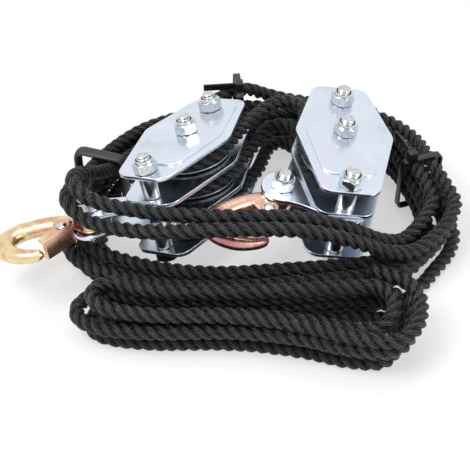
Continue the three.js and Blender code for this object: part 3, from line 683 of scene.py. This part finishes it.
def strap(side, which):
    """One of the hanger's two straps, above or below the hook's eye."""
    low = STRAP_GAP / 2 if which == "upper" else -STRAP_GAP / 2 - STRAP_THICK
    holes = [circle(x, 0, BORE_RADIUS) for x in (0, STRAP_LENGTH)]
    piece = sheet_piece([strap_outline(), *holes], low, low + STRAP_THICK, STRAP_EDGE)
    name = f"{side}_hanger_strap_{which}"
    node = f"{side}_strap_{which}"
    delivered(piece, name, hanger_matrix(side), f"{side}_hanger", "zinc_plate", node)


def spline_point(points, share):
    """A point on the smooth line through points, at a share of the way."""
    place = share * (len(points) - 1)
    i = min(int(place), len(points) - 2)
    weight = place - i
    before = points[i - 1] if i else points[0] * 2 - points[1]
    after = points[i + 2] if i + 2 < len(points) else points[-1] * 2 - points[-2]
    return segment_point(before, points[i], points[i + 1], after, weight)


def segment_point(p0, p1, p2, p3, weight):
    """A point between the middle two of four points, by the centripetal rule, at a weight from 0 to 1."""
    d0 = max((p1 - p0).length, 1e-6) ** 0.5
    d1 = max((p2 - p1).length, 1e-6) ** 0.5
    d2 = max((p3 - p2).length, 1e-6) ** 0.5
    t1 = ((p1 - p0) / d0 - (p2 - p0) / (d0 + d1) + (p2 - p1) / d1) * d1
    t2 = ((p2 - p1) / d1 - (p3 - p1) / (d1 + d2) + (p3 - p2) / d2) * d1
    c2 = -3 * p1 + 3 * p2 - 2 * t1 - t2
    c3 = 2 * p1 - 2 * p2 + t1 + t2
    return p1 + t1 * weight + c2 * weight**2 + c3 * weight**3


def ring_point(points, share):
    """The same line through a closed row of points."""
    count = len(points)
    place = share * count
    i = math.floor(place)
    row = [points[(i + off) % count] for off in (-1, 0, 1, 2)]
    return segment_point(*row, place - i)


# The hook's centre line in shares of its length and depth, and its width and thickness in millimetres at
# shares of the way along that line
HOOK_LINE = [
    Vector((a * HOOK_LENGTH, o * HOOK_DEPTH, 0))
    for a, o in [
        (0.12, 0),
        (0.3, -0.1),
        (0.52, -0.16),
        (0.74, -0.12),
        (0.87, 0.08),
        (0.89, 0.34),
        (0.8, 0.68),
        (0.66, 0.87),
        (0.5, 0.95),
    ]
]
HOOK_WIDTH_SHARES = [(0, 10), (0.25, 12.5), (0.6, 14), (1, 7)]
HOOK_THICK_SHARES = [(0, 8), (0.2, 10.5), (0.7, 10.5), (1, 7)]


def size_at(shares, share):
    """A size at a share of the way along a line, evenly between those given."""
    for (start, low), (end, high) in zip(shares, shares[1:]):
        if share <= end:
            return low + (high - low) * (share - start) / (end - start)
    return shares[-1][1]


def even_points(points, count, parts=600):
    """Points spread evenly by length along the smooth line through points."""
    fine = [spline_point(points, i / parts) for i in range(parts + 1)]
    lengths = [0]
    for a, b in zip(fine, fine[1:]):
        lengths.append(lengths[-1] + (b - a).length)
    made, i = [], 0
    for step in range(count):
        want = lengths[-1] * step / (count - 1)
        while i < parts - 1 and lengths[i + 1] < want:
            i += 1
        share = (want - lengths[i]) / max(lengths[i + 1] - lengths[i], 1e-9)
        made.append(fine[i].lerp(fine[i + 1], min(share, 1)))
    return made


def tube_mesh(name, rings, uvs=None):
    """Closed tube over a row of rings, with a fan at each end."""
    sides = len(rings[0])
    points = [p for ring in rings for p in ring]
    centres = [sum(ring, Vector()) / sides for ring in (rings[0], rings[-1])]
    faces = []
    for r in range(len(rings) - 1):
        for i in range(sides):
            a, b = r * sides + i, r * sides + (i + 1) % sides
            faces.append((a, b, b + sides, a + sides))
    first, end = len(points), (len(rings) - 1) * sides
    faces += [(first, (i + 1) % sides, i) for i in range(sides)]
    faces += [(first + 1, end + i, end + (i + 1) % sides) for i in range(sides)]
    mesh = bpy.data.meshes.new(name)
    mesh.from_pydata([*points, *centres], [], faces)
    if uvs:
        layer = mesh.uv_layers.new(name="lay")
        values = []
        for r in range(len(rings) - 1):
            for i in range(sides):
                values += [uvs[r][i], uvs[r][i + 1], uvs[r + 1][i + 1], uvs[r + 1][i]]
        for r in (0, len(rings) - 1):
            for i in range(sides):
                values += [uvs[r][i]] * 3
        layer.data.foreach_set("uv", [c for pair in values for c in pair])
    piece = bpy.data.objects.new(name, mesh)
    bpy.context.collection.objects.link(piece)
    return piece


def cylinder(radius, vertices, depth, x=0, y=0):
    """An upright round bar through the hook, to join to it or to bore it with."""
    bpy.ops.mesh.primitive_cylinder_add(vertices=vertices, radius=radius, depth=depth, location=(x, y, 0))
    return bpy.context.view_layer.objects.active


def hook(side):
    """Forged eye hook: the body, the eye and the latch's lug run into each other with soft fillets."""
    steps, sides = 44, 20
    blunt_from, bluntest = 0.955, 0.12
    through = 20
    centres = even_points(HOOK_LINE, steps + 1)
    angles = [2 * math.pi * (k + 0.5) / sides for k in range(sides)]
    rings = []
    for i, centre in enumerate(centres):
        ahead = (centres[min(i + 1, steps)] - centres[max(i - 1, 0)]).normalized()
        across = Vector((-ahead.y, ahead.x, 0))
        share = i / steps
        blunt = math.sqrt(max(bluntest, 1 - max(0, (share - blunt_from) / (1 - blunt_from)) ** 2))
        width = size_at(HOOK_WIDTH_SHARES, share) * blunt / 2
        thick = size_at(HOOK_THICK_SHARES, share) * blunt / 2
        rings.append(
            [centre + across * width * math.cos(a) + Vector((0, 0, thick * math.sin(a))) for a in angles]
        )
    body = tube_mesh("hook_body", rings)
    eye_half = [(0, 4), (10.7, 4), (11.3, 3.2), (11.5, 2)]
    eye = spun([(r, -z) for r, z in eye_half] + eye_half[::-1], 48)
    lug_x, lug_y = LATCH_PIVOT
    lug = cylinder(LUG_RADIUS, 32, LUG_THICK, lug_x, lug_y)
    web_size = (WEB_WIDTH, lug_y, LUG_THICK)
    bpy.ops.mesh.primitive_cube_add(size=1, location=(lug_x, lug_y / 2, 0), scale=web_size)
    web = bpy.context.view_layer.objects.active
    for piece in (lug, web):
        chosen(piece)
        bpy.ops.object.transform_apply(location=True, rotation=True, scale=True)
    joined(body, eye, lug, web)
    modified(body, "REMESH", mode="VOXEL", voxel_size=0.55)
    modified(body, "SMOOTH", factor=0.6, iterations=6)
    boolean(body, cylinder(BORE_RADIUS, 40, through), "DIFFERENCE")
    boolean(body, cylinder(RIVET_RADIUS + SEAT_GAP, 24, through, lug_x, lug_y), "DIFFERENCE")
    name = f"{side}_forged_hook"
    delivered(body, name, hook_matrix(side), f"{side}_hook_body", "passivated_steel", f"{side}_hook")
    # The right hook takes the rosier finish, darkened as painted shade
    if side == "right":
        body.data.materials[0] = ROSE_SHADED_FINISH


def rounded_copy(node, name, body, slot, width, segments=2):
    """A copy of a solid with its loose triangles merged and its edges rounded over."""
    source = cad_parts[node]
    piece = source.copy()
    piece.data = source.data.copy()
    for key in [k for k in piece.keys() if k.startswith("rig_")]:
        del piece[key]
    bpy.context.collection.objects.link(piece)
    chosen(piece)
    bpy.ops.object.mode_set(mode="EDIT")
    bpy.ops.mesh.select_all(action="SELECT")
    bpy.ops.mesh.remove_doubles(threshold=1e-6)
    bpy.ops.mesh.dissolve_limited(angle_limit=1 * DEGREE)
    bpy.ops.object.mode_set(mode="OBJECT")
    corner = 30 * DEGREE
    modified(piece, "BEVEL", width=width * MM, segments=segments, limit_method="ANGLE", angle_limit=corner)
    return delivered(piece, name, Matrix.Identity(4), body, slot, node)


def rivet(side):
    """The latch's rivet, with a low domed head at each end."""
    end = RIVET_REACH + SEAT_GAP
    cap = [(0, end + 1.1), (1.6, end + 1.0), (2.7, end + 0.6), (3.4, end)]
    profile = [(r, -z) for r, z in cap] + [(RIVET_RADIUS, -end), (RIVET_RADIUS, end)] + cap[::-1]
    x, y = LATCH_PIVOT
    matrix = hook_matrix(side) @ along(x, 0, y)
    name, node = f"{side}_latch_pin", f"{side}_latch_rivet"
    delivered(spun(profile, 32), name, matrix, f"{side}_hook_body", "bright_fastener", node)


def hook_block(side):
    """One block with its plates, bolts, nuts, sleeves and sheaves, and its hanger, hook and latch."""
    base = place_matrix(side)
    for number in range(1, 5):
        cheek_plate(side, number)
    for end, x in BOLTS.items():
        rise = 0 if end == "hook_end" else PANEL["rise"]
        face = STACK_HALF + rise + SEAT_GAP
        top = face + NUT_HEIGHT + NUT_COLLAR + THREAD_END
        hex_bolt(f"{side}_{end}_hex_bolt", -face, top, base @ along(x), "bundle", f"{side}_{end}_bolt")
        turned = base @ along(x, x * NUT_TURN_PER_MM)
        lock_nut(f"{side}_{end}_lock_nut", face, turned, "bundle", f"{side}_{end}_nut")
    half = CHEEK_GAP / 2 - SEAT_GAP
    for level, height in LEVELS.items():
        for kind, x in (("far", BOLTS["far_end"]), ("hanger", BOLTS["hook_end"])):
            reach = STRAP_GAP / 2 - SEAT_GAP if (kind, level) == ("hanger", "middle") else half
            node = f"{side}_{kind}_spacer_{level}"
            name = f"{side}_{kind}_sleeve_{level}"
            spacer(name, height - reach, height + reach, SPACER_RADIUS, base @ along(x), "bundle", node)
        if level in SHEAVES[side]:
            sheave(side, level)
        else:
            name, node = f"{side}_axle_sleeve", f"{side}_axle_bush"
            spacer(name, height - half, height + half, HUB_RADIUS, base, "bundle", node)
    strap(side, "upper")
    strap(side, "lower")
    face = STRAP_GAP / 2 + STRAP_THICK + SEAT_GAP
    pin = hanger_matrix(side) @ along(STRAP_LENGTH)
    top = face + NUT_HEIGHT + NUT_COLLAR + THREAD_END
    hex_bolt(f"{side}_hook_hex_bolt", -face, top, pin, f"{side}_hanger", f"{side}_hook_bolt")
    turned = hanger_matrix(side) @ along(STRAP_LENGTH, HOOK_NUT_TURN)
    lock_nut(f"{side}_hook_lock_nut", face, turned, f"{side}_hanger", f"{side}_hook_nut")
    hook(side)
    latch, name = f"{side}_latch", f"{side}_sprung_latch"
    rounded_copy(latch, name, f"{side}_latch_body", "passivated_steel", 0.3)
    rivet(side)


# The rope's routes, seen from above in millimetres, as in the part's source
COIL_OUTLINE = [
    (123, -52),
    (142, -18),
    (132, 12),
    (113, 60),
    (68, 83.5),
    (-8, 86.5),
    (-68, 64),
    (-96, 20),
    (-104, -26),
    (-97.5, -54),
    (-40, -79.5),
    (50, -77),
    (94, -70.5),
]
HANK_OUTLINE = [
    (88, -78.5),
    (48, -81.5),
    (-36, -84.5),
    (-58, -82),
    (-77, -77),
    (-91, -83),
    (-94, -97),
    (-82, -108),
    (-58, -114.5),
    (20, -118),
    (66, -131),
    (92, -133),
    (105, -119),
    (106, -92),
]
# A loop's route has this many steps; the coil and the hank have so many steps in all, in four layers each
LOOP_STEPS = 24
COIL_STEPS = 176
HANK_STEPS = 120
LAYERS = 4
TURN_PITCH = 10.4
LAYER_PITCH = 8.8
FLOOR_CUT = 0.95
LOWEST_CENTRE = ROPE_RADIUS * math.cos(30 * DEGREE) - FLOOR_CUT
# Where the turns spread: the middle of the stretch, half its length, and the spread of each turn
COIL_FANS = [(0.07, 0.14, 4), (0.58, 0.12, 0.8), (0.71, 0.12, 1.2)]
HANK_FANS = [(0.86, 0.2, 5)]
# Where the turns rise: the middle of the stretch, half its length, the rise and the first layer that has it
LIFTS = [(0.8, 0.17, 33, 3), (4 / 24, 0.07, 3.6, 0), (9 / 24, 0.07, 3.6, 0), (13 / 24, 0.07, 4.6, 0)]
# Where the upper turns lean against the left block's hanger and stand one over the other
LEAN = {"at": 0.665, "half": 0.15, "angle": 72, "stack": 14, "height": 56.5, "from": 2.4, "about": 0.67}
# The falls between the blocks, the becket's tail and lead, the hauling part, and the link to the hank
NEAR_ROUTE = [(39, 47), (31.5, 49.5), (23.5, 44)]
OUTER_ROUTE = [
    (-19, 50.5),
    (-9, 55.5),
    (5, 56.8),
    (22, 58.6),
    (50, 59.5),
    (70, 59.8),
    (80.5, 58.6),
    (86, 51.5),
]
BECKET_ROUTE = [(46.5, 53), (55.5, 49.6)]
BECKET_LEAD = [(50.2, 34.5), (43.5, 41.5)]
HAUL_ROUTE = [(-18, 56, 50.5), (-9, 68.5, 48.5), (0, 78, 47), (10, 85, 42.5), (19, 89, 36.5)]
LINK_ROUTE = [(110, -68), (105.5, -75)]


def within(share, at, half):
    """How strongly a place along a loop is inside a stretch, from 0 at its ends to 1 in its middle."""
    off = abs((share - at + 0.5) % 1 - 0.5)
    return math.cos(off / half * 90 * DEGREE) ** 2 if off < half else 0


def piled(turn, turns):
    """How far in a piled coil is, in turns, and how high, in layers."""
    per_layer = turns / LAYERS
    layer = min(int(turn / per_layer), LAYERS - 1)
    into = turn - layer * per_layer
    inward = into if layer % 2 == 0 else per_layer - into
    nearest = round(turn / per_layer)
    off = turn - nearest * per_layer
    height = layer
    climb = 0.5
    if 0 < nearest < LAYERS and abs(off) < climb / 2:
        share = off / climb + 0.5
        height = nearest - 1 + share * share * (3 - 2 * share)
    return inward, height


def wound_route(outline, steps, fans, lifts=(), lean=None):
    """Centre line of a piled winding: each turn follows the outline, drawn in by its place in the spiral."""
    turns = steps / LOOP_STEPS
    ring = [Vector((x, y, 0)) for x, y in outline]
    points = []
    for step in range(steps + 1):
        turn = step / LOOP_STEPS
        share = turn % 1
        inward, height = piled(turn, turns)
        ahead = (ring_point(ring, share + 1e-4) - ring_point(ring, share - 1e-4)).normalized()
        pitch = TURN_PITCH + sum(extra * within(share, at, half) for at, half, extra in fans)
        inset = inward * pitch
        z = LOWEST_CENTRE + height * LAYER_PITCH
        for at, half, rise, layer in lifts:
            z += rise * within(share, at, half) * max(0, min(1, height - layer + 1))
        if lean and height > lean["from"]:
            strength = within(share, lean["at"], lean["half"])
            angle = lean["angle"] * DEGREE * strength
            inset = inward * pitch * math.cos(angle)
            z += (max(z, lean["height"]) - z) * strength
            z += (inward - lean["about"]) * lean["stack"] * math.sin(angle)
        points.append(ring_point(ring, share) + Vector((-ahead.y * inset, ahead.x * inset, z)))
    first = points[0] + (points[0] - points[1]).normalized() * ROPE_DIAMETER
    end = points[-1] + (points[-1] - points[-2]).normalized() * ROPE_DIAMETER
    return [first, *points, end]


def route_matrix(side):
    """A block's frame in the routes' millimetres."""
    return Matrix.Translation(-ORIGIN_SHIFT) @ Matrix.Scale(1 / MM, 4) @ place_matrix(side)


def wrap(side, level, way):
    """Half a turn round a sheave, with the straight lead that the rope has between the cheeks."""
    pitch = GROOVE_FLOOR + SEAT_GAP + ROPE_RADIUS
    matrix = route_matrix(side)
    row = [(-36, way * pitch), (-18, way * pitch)]
    reach = pitch / math.cos(15 * DEGREE)
    for angle in range(90, -91, -30):
        row.append((reach * math.cos(angle * DEGREE), way * reach * math.sin(angle * DEGREE)))
    row += [(-18, -way * pitch), (-36, -way * pitch)]
    return [matrix @ Vector((x, y, LEVELS[level])) for x, y in row]


def fall(start, route, end):
    """A fall over a route seen from above, its height changing evenly."""
    flat = [start.xy, *[Vector(p) for p in route], end.xy]
    lengths = [0]
    for a, b in zip(flat, flat[1:]):
        lengths.append(lengths[-1] + (b - a).length)
    heights = [start.z + (end.z - start.z) * length / lengths[-1] for length in lengths]
    return [Vector((*p, z)) for p, z in zip(flat[1:-1], heights[1:-1])]


def becket_eye():
    """The rope's standing end round the far bolt of the right block."""
    matrix = route_matrix("right")
    reach = (SPACER_RADIUS + SEAT_GAP + ROPE_RADIUS) / math.cos(22.5 * DEGREE)
    points = []
    for angle in range(90, -136, -45):
        out, over = reach * math.sin(angle * DEGREE), reach * math.cos(angle * DEGREE)
        points.append(matrix @ Vector((BOLTS["far_end"] - out, over, LEVELS["bottom"])))
    tail = [Vector((x, y, points[0].z)) for x, y in BECKET_ROUTE]
    lead = [Vector((x, y, points[-1].z)) for x, y in BECKET_LEAD]
    return [*tail, *points, *lead]


def whole_route():
    """The whole rope in one line: becket, five falls, hauling part, coil, link and hank."""
    coil = wound_route(COIL_OUTLINE, COIL_STEPS, COIL_FANS, LIFTS, LEAN)
    hank = wound_route(HANK_OUTLINE, HANK_STEPS, HANK_FANS)
    turns = [
        wrap("left", "bottom", 1),
        wrap("right", "middle", 1),
        wrap("left", "middle", 1),
        wrap("right", "top", 1),
        wrap("left", "top", 1),
    ]
    routes = [OUTER_ROUTE, NEAR_ROUTE, OUTER_ROUTE, NEAR_ROUTE]
    points = becket_eye()
    points += fall(points[-1], NEAR_ROUTE[1:], turns[0][0]) + turns[0]
    for route, turn in zip(routes, turns[1:]):
        points += fall(points[-1], route, turn[0]) + turn
    points += [Vector(p) for p in HAUL_ROUTE]
    points += coil[::-1]
    points += [Vector((x, y, LOWEST_CENTRE)) for x, y in LINK_ROUTE]
    return points + hank


def sampled(points, step):
    """The smooth line through points, sampled at an even step."""
    fine = []
    for i in range(len(points) - 1):
        before = points[i - 1] if i else points[0] * 2 - points[1]
        after = points[i + 2] if i + 2 < len(points) else points[-1] * 2 - points[-2]
        parts = max(1, round((points[i + 1] - points[i]).length / step))
        for part in range(parts):
            fine.append(segment_point(before, points[i], points[i + 1], after, part / parts))
    return [*fine, points[-1]]


def strand_radius(angle):
    """Radius of three laid strands at an angle round the rope: three crowns with a groove between them."""
    off = (angle + math.pi / 3) % (2 * math.pi / 3) - math.pi / 3
    strand = ROPE_RADIUS - STRAND_OFFSET
    return STRAND_OFFSET * math.cos(off) + math.sqrt(strand**2 - (STRAND_OFFSET * math.sin(off)) ** 2)


def relaxed(points, tightest=12, skipped=90, rounds=160):
    """Eases kinks towards a least radius, as a real rope does; the becket's eye comes first and is left."""
    points = list(points)
    for _ in range(rounds):
        eased = {}
        for i in range(skipped, len(points) - 1):
            before, here, after = points[i - 1 : i + 2]
            span = after - before
            turn = (here - before).angle(after - here, 0)
            if turn > span.length / 2 / tightest:
                eased[i] = (before + 2 * here + after) / 4
        if not eased:
            break
        for i, place in eased.items():
            points[i] = place
    return points


def laid_rope_piece(points):
    """Three strands laid right-handed round a line, with their ends fused to a blunt point."""
    rings, uvs = [], []
    length = 0
    across = Vector((0, 0, 1))
    last = len(points) - 1
    for i, centre in enumerate(points):
        ahead = (points[min(i + 1, last)] - points[max(i - 1, 0)]).normalized()
        across = (across - ahead * across.dot(ahead)).normalized()
        over = ahead.cross(across)
        if i:
            length += (centre - points[i - 1]).length
        lays = length / ROPE_LAY
        to_end = min(i, last - i)
        sealed = FUSED_END[to_end] if to_end < len(FUSED_END) else 1
        ring = []
        for k in range(ROPE_SIDES):
            angle = 2 * math.pi * k / ROPE_SIDES
            radius = strand_radius(angle) * sealed
            turned = angle + 2 * math.pi * lays
            point = centre + across * radius * math.cos(turned) + over * radius * math.sin(turned)
            point.z = max(point.z, 0)
            ring.append(point)
        rings.append(ring)
        uvs.append([(k / ROPE_SIDES, lays) for k in range(ROPE_SIDES + 1)])
    return tube_mesh("laid_rope", rings, uvs), length


def rope():
    """The whole rope as one piece along its centre line."""
    points = relaxed(sampled(whole_route(), ROPE_STEP))
    piece, length = laid_rope_piece(points)
    matrix = Matrix.Scale(MM, 4) @ Matrix.Translation(ORIGIN_SHIFT)
    nodes = ("rope_reeved", "rope_coil", "rope_link", "rope_hank")
    delivered(piece, "laid_rope", matrix, "bundle", "rope_fibre", *nodes, smooth=32)


def bindings():
    """The wide band, swollen and rounded as soft rubber is, and the two ties."""
    band = rounded_copy("rope_band", "wide_band", "bundle", "binding_plastic", 0.7, 3)
    modified(band, "REMESH", mode="VOXEL", voxel_size=0.7 * MM)
    modified(band, "DISPLACE", strength=0.9 * MM, mid_level=0)
    modified(band, "SMOOTH", factor=0.6, iterations=70)
    for corner in band.data.vertices:
        corner.co.z = max(corner.co.z, 0)
    band.data.materials.clear()
    band.data.materials.append(BAND_FINISH)
    bpy.ops.object.shade_smooth_by_angle(angle=60 * DEGREE)
    for end in ("side", "back"):
        rounded_copy(f"{end}_tie", f"{end}_cable_tie", "bundle", "binding_plastic", 0.35)


# Each lamp's name, place and size in metres, and power in watts
LAMPS = [
    ("key", (-0.45, -0.25, 0.9), 0.5, 6),
    ("fill", (0.8, -0.4, 0.6), 0.4, 2.5),
    ("top", (0.1, 0.35, 1.2), 0.6, 3),
]
# The camera's view in pixels and millimetres, its tilt in degrees, and its reach and aim in metres
PHOTO_WIDTH = 470
SENSOR_WIDTH = 36
FOCAL_PIXELS = 1091.2
CAMERA_RISE = 43.96
CAMERA_REACH = 0.7503
CAMERA_AIM = Vector((-0.324, 35.026, -29.04)) * MM


def seen_directly(tree):
    """One where a ray comes from the camera or a reflection, so that bright metal shows the white too."""
    rays = add_node(tree, "ShaderNodeLightPath").outputs
    seen = rays["Is Camera Ray"]
    for kind in ("Is Glossy Ray", "Is Transmission Ray"):
        either = add_node(tree, "ShaderNodeMath", {"operation": "MAXIMUM"}, {0: seen, 1: rays[kind]})
        seen = either.outputs[0]
    return seen


def pale_floor():
    """White floor that keeps the part's shadow and is half its own light where it is seen."""
    material, tree = new_finish("pale_floor")
    white = linear("#ffffff")
    diffuse = add_node(tree, "ShaderNodeBsdfDiffuse", {}, {"Color": white})
    glow = add_node(tree, "ShaderNodeEmission", {}, {"Color": white, "Strength": 1.0})
    seen = seen_directly(tree)
    share = add_node(tree, "ShaderNodeMapRange", {}, {"Value": seen, "To Min": 0, "To Max": 0.5})
    links = {0: share.outputs["Result"], 1: diffuse.outputs[0], 2: glow.outputs[0]}
    finished(tree, add_node(tree, "ShaderNodeMixShader", {}, links))
    deselect()
    bpy.ops.mesh.primitive_plane_add(size=6, location=(0, 0, 0))
    floor = bpy.context.view_layer.objects.active
    floor.name = "floor"
    floor.data.materials.append(material)


def studio_light():
    """An even pale world, white where it is seen, and three soft lamps aimed at the middle of the part."""
    world = bpy.data.worlds.new("studio")
    world.use_nodes = True
    tree = world.node_tree
    backdrop = tree.nodes["Background"]
    backdrop.inputs["Color"].default_value = linear("#ffffff")
    strength = add_node(
        tree, "ShaderNodeMapRange", {}, {"Value": seen_directly(tree), "To Min": 0.42, "To Max": 1}
    )
    tree.links.new(strength.outputs["Result"], backdrop.inputs["Strength"])
    bpy.context.scene.world = world
    aim = Vector((0, 0, 0.03))
    for name, place, size, watts in LAMPS:
        data = bpy.data.lights.new(name, "AREA")
        data.size = size
        data.energy = watts
        lamp = bpy.data.objects.new(name, data)
        lamp.location = place
        lamp.rotation_euler = (aim - Vector(place)).to_track_quat("-Z", "Y").to_euler()
        bpy.context.collection.objects.link(lamp)


def photo_camera():
    """The photograph's camera: its lens from a focal length in pixels, its place from what it aims at."""
    data = bpy.data.cameras.new("camera")
    data.sensor_width = SENSOR_WIDTH
    data.lens = SENSOR_WIDTH * FOCAL_PIXELS / PHOTO_WIDTH
    camera = bpy.data.objects.new("camera", data)
    rise = CAMERA_RISE * DEGREE
    camera.location = CAMERA_AIM + Vector((0, -math.cos(rise), math.sin(rise))) * CAMERA_REACH
    camera.rotation_euler = (math.pi / 2 - rise, 0, 0)
    bpy.context.collection.objects.link(camera)
    bpy.context.scene.camera = camera
    bpy.context.scene.view_settings.view_transform = "Standard"


pale_floor()
studio_light()
photo_camera()
rope()
hook_block("right")
hook_block("left")
bindings()
